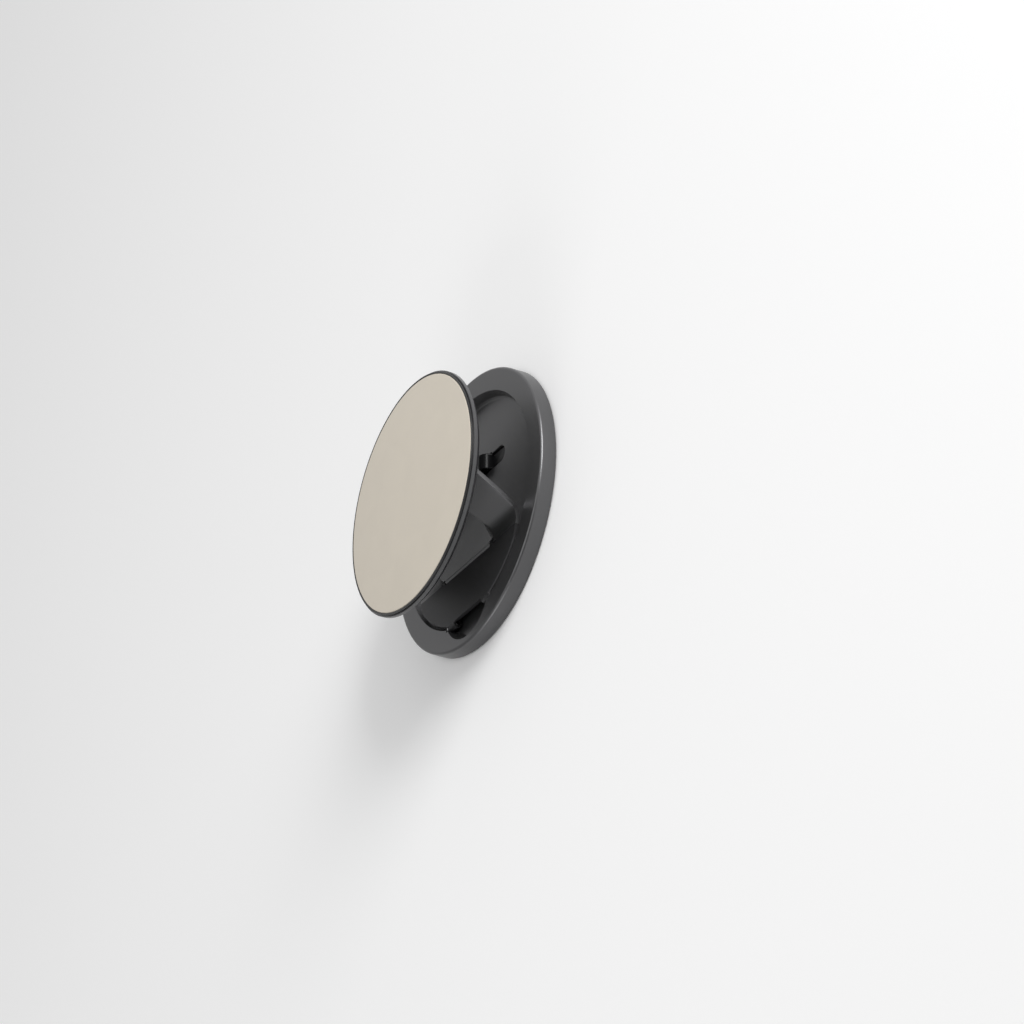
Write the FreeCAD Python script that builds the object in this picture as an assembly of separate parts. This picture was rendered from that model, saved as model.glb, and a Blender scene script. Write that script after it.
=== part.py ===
import FreeCAD, Part
import math
import os

# Magnetic phone grip: a flat round base, a folding arm and a round disc to hold.
# Millimetres. The origin is the centre of the base's back, +Z points out to the disc,
# +X is right and +Y is up as the grip is worn.

Vector = FreeCAD.Vector
X_AXIS = Vector(1, 0, 0)
Z_AXIS = Vector(0, 0, 1)

# Cutting shapes run this far past what they cut, and reach past every side of the grip
overcut = 1.0
far = 30.0
tiny = 1e-6

# Base tray
base_radius = 28.65
base_height = 3.5
foot_gap = 0.1
top_round = 0.55
bottom_bevel = 0.2
recess_rim_radius = 23.93
recess_foot_radius = 23.17
recess_foot_round = 0.8
floor_top = 1.4
rim_edge_bevel = 0.12

# Back of the base
pad_top = 0.3
cover_top = 0.8
cover_radius = 27.6
pad_radius = 27.4
cover_play = 0.08

# Holding magnets, in a ring that is open below for the arm's hinge
magnet_count = 16
magnet_inner = 24.05
magnet_outer = 27.0
magnet_low = 0.85
magnet_high = 1.95
magnet_gap_deg = 1.2
shield_low = 2.0
shield_high = 2.3
groove_inner = 23.95
groove_outer = 27.1
groove_top = 2.4
ring_opening_half_deg = 25.0

# Thumb pocket, which also takes the arm's hinge
thumb_half_width = 8.4
thumb_low_y = -23.0
thumb_high_y = -17.0
thumb_corner = 0.3
scoop_centre_y = -18.3
scoop_rim_radius = 9.0
scoop_foot_radius = 8.2
scoop_foot_round = 0.8

# Arm hinge: a short pin at each side
hinge_y = -22.0
hinge_z = 2.55
pin_radius = 0.45
pin_start = 5.3
pin_end = 9.5
pin_chamfer = 0.1
pin_slot_play = 0.02
pin_slot_start = 8.45
pin_slot_end = 9.6
running_play = 0.05
ear_inner = 5.4
ear_outer = 8.1
ear_radius = 0.8
ear_web_reach = 0.9
ear_web_low = 2.1
ear_web_high = 3.48
washer_thickness = 0.2
washer_radius = 0.75
washer_bore_play = 0.03
keeper_start = 8.55
keeper_low = 0.83
keeper_top = 2.05

# Arm leaf and the crease at its top edge
leaf_radius = 23.3
leaf_low = 2.5
leaf_high = 3.5
leaf_edge_round = 0.45
leaf_top_y = -11.9
notch_y = -21.8
notch_corner = 0.4
crease_y = -11.6
crease_z = 3.0
crease_pin_radius = 0.28
crease_play = 0.04
knuckle_radius = 0.6
knuckle_web_reach = 0.3
plate_knuckle_half = 8.75
knuckle_end = 9.9
knuckle_gap = 0.15

# Bent side band: a low round bend, a long slope and a high tight bend
band_thickness = 0.9
band_radius = 21.55
low_bend_y = -11.46
low_bend_radius = 3.65
bend_deg = 65.0
band_slope_length = 8.5
band_top_z = 13.45
bridge_low_y = 11.2
band_end_y = 15.5

# Taper of the sides from the wide leaf to the narrower band
taper_half = 18.75
taper_slope = 0.28
taper_low_y = -16.0
taper_high_y = -9.1

# Window in the band, wider in the flat top than on the slope
window_foot_half = 10.25
window_half = 11.5
window_flare_low_y = -3.5
window_flare_high_y = -1.0

# Prop plate, at its raised angle at rest
prop_length = 20.5
prop_lift = 10.2
plate_thickness = 0.9
plate_half_width = 9.9
plate_neck_half_width = 8.4
plate_neck_start = 14.5
plate_neck_overlap = 2.0
plate_end_margin = 0.6
plate_corner = 0.6
neck_corner = 0.8
finger_inner_x = 6.1
finger_length = 2.1
finger_corner = 0.5
slide_pin_radius = 0.3
slide_pin_start = 6.5
slide_pin_end = 9.85
roller_radius = 0.42
roller_bore_play = 0.02
roller_inner_x = 8.85
roller_outer_x = 9.75

# Disc
disc_centre_y = 0.35
disc_back = 14.0
disc_face = 16.0
disc_radius = 24.42
disc_back_radius = 23.6
disc_bevel_top = 14.8
disc_wall_top = 15.5
dish_floor = 14.7
dish_wall_inner = 24.15
seal_inner = 23.72
seal_outer = 24.13
seal_top = 15.95
face_radius = 23.68
face_thickness = 0.4
face_edge_round = 0.15
inner_plate_radius = 23.3
steel_thickness = 0.4

# Slide bracket on the disc's back
bracket_plate_half = 10.35
bracket_low_y = 4.6
bracket_high_y = 10.6
bracket_plate_thickness = 0.3
bracket_play = 0.03
bracket_web = 0.35
bracket_shelf_in = 8.65
shelf_low = 12.2
shelf_high = 12.55
bracket_screw_x = 5.0
bracket_screw_y = (5.9, 9.3)

# Clamp that holds the band's top leaf to the disc
clamp_low = 12.45
clamp_high = 12.95
clamp_radius = 20.6
clamp_end_y = 15.0
clamp_window_half = 11.8
clamp_low_y = 3.0
clamp_bridge_low_y = 11.6
clamp_screw_places = ((15.0, 5.0), (15.0, 10.0), (6.0, 13.4))
clamp_hole_radius = 0.8

# Small screws
screw_bore = 0.5
screw_bore_top = 14.6
screw_shank = 0.49
screw_tip_z = 14.58
screw_head = 0.9
screw_head_height = 0.25
driver_socket_radius = 0.35
driver_socket_depth = 0.15

# Catch block in the recess floor
catch_half_width = 10.6
catch_low_y = 7.0
catch_high_y = 10.1
catch_corner = 1.5
catch_edge_round = 0.4
catch_low = 0.82
hump_foot_half = 5.7
hump_top_half = 4.6
hump_high_y = 10.75
hump_top = 3.05
hump_shoulder_round = 1.8
hump_edge_round = 0.3
hump_edge_low = 1.12
lobe_top = 1.02
catch_play = 0.12
latch_half_width = 3.0
latch_low_y = 7.7
latch_high_y = 10.1
latch_top = 2.6
latch_play = 0.05


def cylinder(radius, low, high, y=0.0):
    return Part.makeCylinder(radius, high - low, Vector(0, y, low), Z_AXIS)


def ring(inner, outer, low, high, y=0.0):
    return cylinder(outer, low, high, y).cut(cylinder(inner, low - overcut, high + overcut, y))


def box(x_low, x_high, y_low, y_high, z_low, z_high):
    corner = Vector(x_low, y_low, z_low)
    return Part.makeBox(x_high - x_low, y_high - y_low, z_high - z_low, corner)


def rod(radius, x_low, x_high, y, z):
    return Part.makeCylinder(radius, x_high - x_low, Vector(x_low, y, z), X_AXIS)


def rounded_box(x_low, x_high, y_low, y_high, z_low, z_high, corner):
    block = box(x_low, x_high, y_low, y_high, z_low, z_high)
    upright = [edge for edge in block.Edges if abs(edge.tangentAt(edge.FirstParameter).z) > 0.9]
    return block.makeFillet(corner, upright)


def arc_ring(inner, outer, low, high, start_deg, sweep_deg):
    """A part of a ring, from start_deg on and anticlockwise."""
    height = high - low
    solid = Part.makeCylinder(outer, height, Vector(0, 0, low), Z_AXIS, sweep_deg)
    solid = solid.cut(cylinder(inner, low - overcut, high + overcut))
    solid.rotate(Vector(0, 0, 0), Z_AXIS, start_deg)
    return solid


def circle_edges(solid, radius, z):
    """The circular edges of a solid with this radius at this height."""
    found = []
    for edge in solid.Edges:
        curve = edge.Curve
        if isinstance(curve, Part.Circle):
            if abs(curve.Radius - radius) < 1e-4 and abs(curve.Center.z - z) < 1e-4:
                found.append(edge)
    return found


def mirrored(solid):
    return solid.mirror(Vector(0, 0, 0), X_AXIS)


def pair(solid):
    """A solid and its twin on the other side, as one group."""
    return Part.makeCompound([solid, mirrored(solid)])


def joined(solids):
    result = solids[0]
    for solid in solids[1:]:
        result = result.fuse(solid)
    return result.removeSplitter()


def polygon_prism(points, direction):
    wire = Part.makePolygon(points + [points[0]])
    return Part.Face(wire).extrude(direction)


def hump_prism(y_low, y_high, low, high, inset):
    """The block with round shoulders in the middle of the catch."""
    foot = hump_foot_half - inset
    top = hump_top_half - inset
    points = [
        Vector(-foot, y_low, low),
        Vector(foot, y_low, low),
        Vector(foot, y_low, lobe_top),
        Vector(top, y_low, high),
        Vector(-top, y_low, high),
        Vector(-foot, y_low, lobe_top),
    ]
    block = polygon_prism(points, Vector(0, y_high - y_low, 0))
    shoulders = [edge for edge in block.Edges
                 if edge.BoundBox.XLength < tiny and edge.BoundBox.ZMin > high - tiny]
    block = block.makeFillet(hump_shoulder_round, shoulders)
    sides = [edge for edge in block.Edges
             if edge.BoundBox.YLength < tiny and edge.CenterOfMass.z > hump_edge_low]
    return block.makeFillet(hump_edge_round, sides)


def catch_window():
    low = cover_top - overcut
    high = floor_top + overcut
    window = rounded_box(-catch_half_width, catch_half_width, catch_low_y, catch_high_y,
                         low, high, catch_corner)
    middle = box(-hump_foot_half, hump_foot_half, catch_low_y, hump_high_y, low, high)
    return joined([window, middle])


def bowl(foot_radius, rim_radius, foot_round, y=0.0):
    """The space of a round recess: steep walls that run into the floor in a round."""
    space = Part.makeCone(foot_radius, rim_radius, base_height - floor_top,
                          Vector(0, y, floor_top), Z_AXIS)
    return space.makeFillet(foot_round, circle_edges(space, foot_radius, floor_top))


def base_tray():
    tray = cylinder(base_radius, foot_gap, base_height)
    tray = tray.makeFillet(top_round, circle_edges(tray, base_radius, base_height))
    tray = tray.makeChamfer(bottom_bevel, circle_edges(tray, base_radius, foot_gap))
    tray = tray.cut(bowl(recess_foot_radius, recess_rim_radius, recess_foot_round))
    tray = tray.makeChamfer(rim_edge_bevel, circle_edges(tray, recess_rim_radius, base_height))
    tray = tray.cut(catch_window())
    tray = tray.makeFillet(catch_edge_round, catch_low_edges(tray))
    tray = tray.cut(rounded_box(-thumb_half_width, thumb_half_width, thumb_low_y, thumb_high_y,
                                floor_top, base_height + overcut, thumb_corner))
    tray = tray.cut(bowl(scoop_foot_radius, scoop_rim_radius, scoop_foot_round, scoop_centre_y))
    tray = tray.cut(cylinder(cover_radius + cover_play, foot_gap - overcut, cover_top))
    opening = 2 * ring_opening_half_deg
    tray = tray.cut(arc_ring(groove_inner, groove_outer, cover_top - overcut, groove_top,
                             ring_opening_half_deg - 90, 360 - opening))
    slot_half = pin_radius + pin_slot_play
    bore = rod(slot_half, thumb_half_width - overcut, pin_slot_end, hinge_y, hinge_z)
    slot = box(pin_slot_start, pin_slot_end, hinge_y - slot_half, hinge_y + slot_half,
               cover_top - overcut, hinge_z)
    return tray.cut(pair(bore)).cut(pair(slot))


def catch_low_edges(tray):
    """The floor's edges along the low side of the catch's window."""
    return [edge for edge in tray.Edges
            if edge.BoundBox.ZMin > floor_top - tiny and edge.BoundBox.ZMax < floor_top + tiny
            and abs(edge.CenterOfMass.x) < catch_half_width
            and abs(edge.BoundBox.YMin - catch_low_y) < tiny]


def back_cover():
    return cylinder(cover_radius, pad_top, cover_top)


def back_pad():
    pad = cylinder(pad_radius, 0, pad_top)
    return pad.makeFillet(pad_top / 3, circle_edges(pad, pad_radius, 0))


def ring_magnets():
    span = 360 - 2 * ring_opening_half_deg
    pitch = span / magnet_count
    first = ring_opening_half_deg - 90 + magnet_gap_deg / 2
    magnets = []
    for number in range(magnet_count):
        magnets.append(arc_ring(magnet_inner, magnet_outer, magnet_low, magnet_high,
                                first + number * pitch, pitch - magnet_gap_deg))
    return Part.makeCompound(magnets)


def magnet_shield():
    start = ring_opening_half_deg - 90 + magnet_gap_deg / 2
    span = 360 - 2 * ring_opening_half_deg - magnet_gap_deg
    return arc_ring(magnet_inner, magnet_outer, shield_low, shield_high, start, span)


def hinge_pins():
    pin = rod(pin_radius, pin_start, pin_end, hinge_y, hinge_z)
    ends = [edge for edge in pin.Edges if isinstance(edge.Curve, Part.Circle)]
    return pair(pin.makeChamfer(pin_chamfer, ends))


def pin_keepers():
    half = pin_radius - pin_slot_play
    return pair(box(keeper_start, pin_end, hinge_y - half, hinge_y + half,
                    keeper_low, keeper_top))


def hinge_washers():
    middle = (ear_outer + thumb_half_width) / 2
    low = middle - washer_thickness / 2
    high = middle + washer_thickness / 2
    washer = rod(washer_radius, low, high, hinge_y, hinge_z)
    hole = rod(pin_radius + washer_bore_play, low - overcut, high + overcut, hinge_y, hinge_z)
    return pair(washer.cut(hole))


def catch_block():
    lobes = rounded_box(-catch_half_width + catch_play, catch_half_width - catch_play,
                        catch_low_y + catch_play, catch_high_y - catch_play,
                        catch_low, lobe_top, catch_corner - catch_play)
    hump = hump_prism(catch_low_y + catch_play, hump_high_y - catch_play,
                      catch_low, hump_top, catch_play)
    block = joined([lobes, hump])
    seat_half = latch_half_width + latch_play
    seat = box(-seat_half, seat_half, latch_low_y - latch_play, latch_high_y + latch_play,
               catch_low - overcut, latch_top + latch_play)
    return block.cut(seat)


def latch_magnet():
    return box(-latch_half_width, latch_half_width, latch_low_y, latch_high_y,
               magnet_low, latch_top)


def hinge_ear():
    """One of the two ears that carry the leaf on the hinge pins."""
    barrel = rod(ear_radius, ear_inner, ear_outer, hinge_y, hinge_z)
    web = box(ear_inner, ear_outer, hinge_y, notch_y + ear_web_reach, ear_web_low, ear_web_high)
    return barrel.fuse(web)


def leaf_knuckle():
    """One of the two knuckles that carry the prop plate at the crease."""
    start = plate_knuckle_half + knuckle_gap
    barrel = rod(knuckle_radius, start, knuckle_end, crease_y, crease_z)
    web = box(start, knuckle_end, leaf_top_y - knuckle_web_reach, crease_y, leaf_low, leaf_high)
    return barrel.fuse(web)


def saddle_leaf():
    leaf = cylinder(leaf_radius, leaf_low, leaf_high)
    rims = circle_edges(leaf, leaf_radius, leaf_low) + circle_edges(leaf, leaf_radius, leaf_high)
    leaf = leaf.makeFillet(leaf_edge_round, rims)
    high = leaf_high + overcut
    leaf = leaf.cut(box(-far, far, leaf_top_y, far, 0, high))
    leaf = leaf.cut(pair(side_waste(taper_low_y, leaf_top_y + overcut)))
    leaf = leaf.cut(rounded_box(-ear_inner, ear_inner, -far, notch_y, 0, high, notch_corner))
    leaf = leaf.cut(pair(rod(ear_radius, ear_outer, thumb_half_width, hinge_y, hinge_z)))
    ear = hinge_ear()
    knuckle = leaf_knuckle()
    leaf = joined([leaf, ear, mirrored(ear), knuckle, mirrored(knuckle)])
    clear_half = plate_knuckle_half + knuckle_gap
    clear_y = crease_y - knuckle_radius - knuckle_gap
    leaf = leaf.cut(box(-clear_half, clear_half, clear_y, 0, 0, high))
    leaf = leaf.cut(rod(pin_radius + running_play, -far, far, hinge_y, hinge_z))
    return leaf.cut(crease_bore())


def taper_at(y):
    """Half the arm's width at this y, between the leaf and the band."""
    return taper_half + taper_slope * (y - leaf_top_y)


def side_waste(low_y, high_y):
    """What the taper takes off the right side between these two places."""
    points = [
        Vector(taper_at(low_y), low_y, 0),
        Vector(far, low_y, 0),
        Vector(far, high_y, 0),
        Vector(taper_at(high_y), high_y, 0),
    ]
    return polygon_prism(points, Vector(0, 0, far))


def crease_bore():
    end = knuckle_end + overcut
    return rod(crease_pin_radius + crease_play, -end, end, crease_y, crease_z)


def crease_pin():
    return rod(crease_pin_radius, -knuckle_end, knuckle_end, crease_y, crease_z)


def band_line():
    """The places and slopes, as (y, z, angle), where the band's middle line bends."""
    turn = math.radians(bend_deg)
    start = (low_bend_y, crease_z, 0.0)
    low_mid = bend_point(start, low_bend_radius, turn / 2)
    low_end = bend_point(start, low_bend_radius, turn)
    high_start = (low_end[0] + band_slope_length * math.cos(turn),
                  low_end[1] + band_slope_length * math.sin(turn), turn)
    high_bend_radius = (band_top_z - high_start[1]) / (1 - math.cos(turn))
    high_mid = bend_point(high_start, high_bend_radius, turn / 2)
    high_end = bend_point(high_start, high_bend_radius, 0.0)
    return [(leaf_top_y, crease_z, 0.0), start, low_mid, low_end, high_start, high_mid, high_end]


def bend_point(start, radius, angle):
    """Where a bend of this radius has got to once its slope has turned to this angle."""
    y, z, first = start
    side = 1 if angle > first else -1
    y += side * radius * (math.sin(angle) - math.sin(first))
    z += side * radius * (math.cos(first) - math.cos(angle))
    return y, z, angle


def band_skin(offset):
    """One face of the band, as points: the middle line moved square to itself."""
    bends = []
    for y, z, angle in band_line():
        bends.append(Vector(-far, y - offset * math.sin(angle), z + offset * math.cos(angle)))
    return bends + [Vector(-far, band_end_y, band_top_z + offset)]


def skin_edges(points):
    first, start, low_mid, low_end, high_start, high_mid, high_end, last = points
    return [
        Part.makeLine(first, start),
        Part.Arc(start, low_mid, low_end).toShape(),
        Part.makeLine(low_end, high_start),
        Part.Arc(high_start, high_mid, high_end).toShape(),
        Part.makeLine(high_end, last),
    ]


def side_band():
    """The bent band, with round sides that taper out to the leaf, and a window for the plate."""
    half = band_thickness / 2
    under = band_skin(-half)
    over = band_skin(half)
    edges = skin_edges(under) + [Part.makeLine(under[-1], over[-1])]
    edges += skin_edges(over) + [Part.makeLine(over[0], under[0])]
    outline = Part.Wire(Part.__sortEdges__(edges))
    band = Part.Face(outline).extrude(Vector(2 * far, 0, 0))
    foot = box(-far, far, leaf_top_y - overcut, taper_high_y, 0, far)
    foot = foot.cut(pair(side_waste(leaf_top_y - overcut, taper_high_y)))
    band = band.common(cylinder(band_radius, 0, far).fuse(foot))
    band = band.cut(band_window())
    for x, y in screw_places(clamp_screw_places):
        band = band.cut(upright(clamp_hole_radius, x, y, clamp_low, disc_back))
    return band


def band_window():
    points = [
        Vector(-window_foot_half, leaf_top_y - overcut, 0),
        Vector(window_foot_half, leaf_top_y - overcut, 0),
        Vector(window_foot_half, window_flare_low_y, 0),
        Vector(window_half, window_flare_high_y, 0),
        Vector(window_half, bridge_low_y, 0),
        Vector(-window_half, bridge_low_y, 0),
        Vector(-window_half, window_flare_high_y, 0),
        Vector(-window_foot_half, window_flare_low_y, 0),
    ]
    return polygon_prism(points, Vector(0, 0, far))


def prop_frame(solid):
    """Turn a solid made lying flat up to the plate's raised angle at rest."""
    angle = math.degrees(math.asin(prop_lift / prop_length))
    solid.rotate(Vector(0, crease_y, crease_z), X_AXIS, angle)
    return solid


def prop_plate():
    low = crease_z - plate_thickness / 2
    high = crease_z + plate_thickness / 2
    tip_y = crease_y + prop_length
    start_y = crease_y + knuckle_radius + knuckle_gap
    neck_y = crease_y + plate_neck_start
    wide = rounded_box(-plate_half_width, plate_half_width, start_y, neck_y, low, high,
                       plate_corner)
    neck = rounded_box(-plate_neck_half_width, plate_neck_half_width, neck_y - plate_neck_overlap,
                       tip_y + plate_end_margin, low, high, neck_corner)
    barrel = rod(knuckle_radius, -plate_knuckle_half, plate_knuckle_half, crease_y, crease_z)
    root = box(-plate_knuckle_half, plate_knuckle_half, crease_y, start_y + overcut, low, high)
    plate = joined([wide, neck, barrel, root])
    plate = plate.cut(rounded_box(-finger_inner_x, finger_inner_x, tip_y - finger_length, far,
                                  low - overcut, high + overcut, finger_corner))
    plate = plate.cut(crease_bore())
    plate = plate.cut(pair(rod(slide_pin_radius, slide_pin_start, far, tip_y, crease_z)))
    return prop_frame(plate)


def slide_pins():
    tip_y = crease_y + prop_length
    pin = rod(slide_pin_radius, slide_pin_start, slide_pin_end, tip_y, crease_z)
    return prop_frame(pair(pin))


def slide_rollers():
    tip_y = crease_y + prop_length
    roller = rod(roller_radius, roller_inner_x, roller_outer_x, tip_y, crease_z)
    roller = roller.cut(rod(slide_pin_radius + roller_bore_play, 0, far, tip_y, crease_z))
    return prop_frame(pair(roller))


def disc_frame():
    """The disc's dish: a thin floor, a bevelled back edge and a thin upright rim."""
    outline = [
        Vector(0, 0, disc_back),
        Vector(disc_back_radius, 0, disc_back),
        Vector(disc_radius, 0, disc_bevel_top),
        Vector(disc_radius, 0, disc_wall_top),
        Vector(dish_wall_inner, 0, disc_wall_top),
        Vector(dish_wall_inner, 0, dish_floor),
        Vector(0, 0, dish_floor),
    ]
    face = Part.Face(Part.makePolygon(outline + [outline[0]]))
    dish = face.revolve(Vector(0, 0, 0), Z_AXIS, 360)
    dish.translate(Vector(0, disc_centre_y, 0))
    dish = dish.cut(box(-bracket_plate_half, bracket_plate_half, bracket_low_y, bracket_high_y,
                        disc_back - overcut, disc_back + bracket_plate_thickness))
    for x, y in screw_places(clamp_screw_places) + bracket_screws_at():
        dish = dish.cut(upright(screw_bore, x, y, disc_back - overcut, screw_bore_top))
    return dish


def upright(radius, x, y, low, high):
    return Part.makeCylinder(radius, high - low, Vector(x, y, low), Z_AXIS)


def screw_places(places):
    return [(side * x, y) for x, y in places for side in (-1, 1)]


def bracket_screws_at():
    return screw_places([(bracket_screw_x, y) for y in bracket_screw_y])


def small_screw(x, y, head_low):
    """A screw with its head down, at head_low, and its tip in the disc."""
    head_high = head_low + screw_head_height
    head = upright(screw_head, x, y, head_low, head_high)
    shank = upright(screw_shank, x, y, head_high, screw_tip_z)
    socket = upright(driver_socket_radius, x, y, head_low - overcut,
                     head_low + driver_socket_depth)
    return head.fuse(shank).cut(socket)


def seal_ring():
    return ring(seal_inner, seal_outer, dish_floor, seal_top, disc_centre_y)


def steel_plate():
    return cylinder(inner_plate_radius, dish_floor, dish_floor + steel_thickness, disc_centre_y)


def face_backing():
    low = dish_floor + steel_thickness
    return cylinder(inner_plate_radius, low, disc_face - face_thickness, disc_centre_y)


def face_inlay():
    face = cylinder(face_radius, disc_face - face_thickness, disc_face, disc_centre_y)
    edge = circle_edges(face, face_radius, disc_face)
    return face.makeFillet(face_edge_round, edge)


def slide_bracket():
    """A plate in the disc's back with a rail down each side for the slide pins' rollers."""
    half = bracket_plate_half - bracket_play
    low_y = bracket_low_y + bracket_play
    high_y = bracket_high_y - bracket_play
    plate = box(-half, half, low_y, high_y, disc_back, disc_back + bracket_plate_thickness)
    web = box(half - bracket_web, half, low_y, high_y, shelf_low, disc_back)
    shelf = box(bracket_shelf_in, half - bracket_web, low_y, high_y, shelf_low, shelf_high)
    bracket = joined([plate, web, shelf, mirrored(web), mirrored(shelf)])
    for x, y in bracket_screws_at():
        bracket = bracket.cut(upright(screw_bore, x, y, disc_back - overcut, disc_back + overcut))
        bracket = bracket.cut(upright(screw_head, x, y, disc_back - overcut,
                                      disc_back + screw_head_height))
    return bracket


def bracket_screws():
    return Part.makeCompound([small_screw(x, y, disc_back) for x, y in bracket_screws_at()])


def band_clamp():
    clamp = cylinder(clamp_radius, clamp_low, clamp_high)
    clamp = clamp.common(box(-far, far, clamp_low_y, clamp_end_y, 0, far))
    clamp = clamp.cut(box(-clamp_window_half, clamp_window_half, 0, clamp_bridge_low_y, 0, far))
    for x, y in screw_places(clamp_screw_places):
        clamp = clamp.cut(upright(screw_bore, x, y, 0, far))
    return clamp


def clamp_screws():
    head_low = clamp_low - screw_head_height
    return Part.makeCompound([small_screw(x, y, head_low)
                              for x, y in screw_places(clamp_screw_places)])


SUB_PARTS = {
    "base_tray": base_tray,
    "back_cover": back_cover,
    "back_pad": back_pad,
    "ring_magnets": ring_magnets,
    "magnet_shield": magnet_shield,
    "hinge_pins": hinge_pins,
    "pin_keepers": pin_keepers,
    "hinge_washers": hinge_washers,
    "catch_block": catch_block,
    "latch_magnet": latch_magnet,
    "saddle_leaf": saddle_leaf,
    "side_band": side_band,
    "crease_pin": crease_pin,
    "prop_plate": prop_plate,
    "slide_pins": slide_pins,
    "slide_rollers": slide_rollers,
    "disc_frame": disc_frame,
    "seal_ring": seal_ring,
    "steel_plate": steel_plate,
    "face_backing": face_backing,
    "face_inlay": face_inlay,
    "slide_bracket": slide_bracket,
    "bracket_screws": bracket_screws,
    "band_clamp": band_clamp,
    "clamp_screws": clamp_screws,
}


def main():
    os.makedirs("parts", exist_ok=True)
    for name, make in SUB_PARTS.items():
        shape = make()
        shape.exportStep("parts/" + name + ".step")
        print(name, "valid", shape.isValid(), "solids", len(shape.Solids), round(shape.Volume, 2))


main()
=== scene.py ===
import math

import bmesh
import bpy
from mathutils import Matrix, Vector


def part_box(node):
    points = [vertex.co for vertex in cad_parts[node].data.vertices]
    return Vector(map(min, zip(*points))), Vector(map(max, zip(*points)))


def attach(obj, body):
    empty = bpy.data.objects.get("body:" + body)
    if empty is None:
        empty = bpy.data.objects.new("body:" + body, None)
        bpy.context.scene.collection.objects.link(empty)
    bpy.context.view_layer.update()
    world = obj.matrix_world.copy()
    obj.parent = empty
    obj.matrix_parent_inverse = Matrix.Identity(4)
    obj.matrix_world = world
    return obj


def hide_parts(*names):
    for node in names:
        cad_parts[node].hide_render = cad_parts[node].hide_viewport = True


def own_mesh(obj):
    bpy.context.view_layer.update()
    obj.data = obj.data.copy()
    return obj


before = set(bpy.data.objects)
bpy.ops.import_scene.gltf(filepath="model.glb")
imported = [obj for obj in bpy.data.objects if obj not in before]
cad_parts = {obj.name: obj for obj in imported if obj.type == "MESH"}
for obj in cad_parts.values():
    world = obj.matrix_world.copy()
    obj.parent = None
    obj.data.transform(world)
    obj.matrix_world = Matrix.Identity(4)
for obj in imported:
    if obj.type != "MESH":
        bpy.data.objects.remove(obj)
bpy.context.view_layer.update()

# Lengths are in millimetres up to the point where a mesh is made.
# The camera, the lights and the floor are placed in metres.
MM = 0.001
# Two lengths that differ by less than this are taken as the same
NEAR = 0.001

# Camera: the photograph's own view, from the lower right and above the disc
CAMERA_PLACE = (0.8069, -0.5150, 0.4449)
CAMERA_UP = (0.4254, 0.8727, 0.2398)
CAMERA_BACK = (0.7617, -0.4883, 0.4259)
CAMERA_LENS = 192.1
CAMERA_SENSOR = 36.0
CAMERA_REACH = 20.0

# Light boxes above, low in front and at the right, as name, place, size and power
LIGHT_BOXES = (
    ("top_box", (0.0, -0.1, 0.85), (0.6, 0.6), 1.5),
    ("low_box", (-0.15, -0.8, 0.22), (0.5, 0.4), 2.0),
    ("right_box", (0.75, 0.45, 0.3), (0.5, 0.4), 8.0),
)
LIGHT_TARGET = (0.0, 0.0, 0.008)

# The room's light, brighter on the far side by the swing and darker on the near side
WORLD_COLOR = (1.0, 1.0, 1.0, 1.0)
WORLD_MIDDLE = 0.45
WORLD_SWING = 0.35

# Floor
FLOOR_HALF = 4.0
FLOOR_SEEN = (0.9, 0.9, 0.9)
FLOOR_BOUNCE = (0.6, 0.6, 0.6)
FLOOR_ROUGHNESS = 0.9
FLOOR_SPECULAR = 0.1

# Grain and smears of the finishes
GRAIN_SCALE = 4000.0
GRAIN_DETAIL = 3.0
GRAIN_DEPTH = 0.02
COARSE_SHARE = 0.3
COARSE_RATIO = 0.22
COARSE_DETAIL = 2.0
SMEAR_SCALE = 90.0
SMEAR_SWING = 0.05
SMEAR_DETAIL = 4.0
SMEAR_DISTORTION = 0.6
NOISE_MIDDLE = 0.5
SHEEN_ROUGHNESS = 0.6
SATIN_COAT = {"specular": 0.3, "grain_depth": 0.012, "grain_strength": 0.2}

# Facets, and the angles past which an edge is eased or shaded sharp
ROUND_STEPS = 256
ARC_STEPS = 5
SMALL_ARC_STEPS = 3
SHARP_DEG = 32.0
FLAT_DEG = 0.4
EASED_SEGMENTS = 3
EASED_DEG = 35.0

# Pieces with rounds of their own take a wider angle, so that only their corners are eased
ROUNDED = ("base_tray", "saddle_leaf", "catch_block")
ROUNDED_DEG = 62.0

# Pieces that keep their CAD shape, as node, body, slot and the width of the eased edges
EASED = (
    ("base_tray", "base", "tray_black", 0.07),
    ("back_cover", "base", "cover_black", 0.06),
    ("magnet_shield", "base", "plain_steel", 0.03),
    ("hinge_pins", "base", "pin_black", 0.03),
    ("pin_keepers", "base", "cover_black", 0.05),
    ("hinge_washers", "base", "pin_steel", 0.02),
    ("catch_block", "base", "catch_gloss", 0.05),
    ("latch_magnet", "base", "magnet_nickel", 0.06),
    ("saddle_leaf", "arm", "leaf_black", 0.08),
    ("crease_pin", "arm", "pin_steel", 0.03),
    ("prop_plate", "prop", "plate_grey", 0.1),
    ("slide_pins", "prop", "pin_steel", 0.03),
    ("slide_rollers", "prop", "catch_gloss", 0.04),
    ("disc_frame", "disc", "disc_metal", 0.05),
    ("steel_plate", "disc", "plain_steel", 0.04),
    ("face_backing", "disc", "backing_board", 0.05),
    ("slide_bracket", "disc", "plate_grey", 0.05),
    ("band_clamp", "disc", "plate_grey", 0.08),
)

# Round at the top of the tray's rim
TRAY_RADIUS = 28.65
TRAY_TOP = 3.5
TRAY_ROUND = 0.55
TRAY_ROUND_SEGMENTS = 6
TRAY_CORNER_GAP = 0.002
ROUND_SLACK = 0.006
CIRCLE_PROFILE = 0.5

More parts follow.
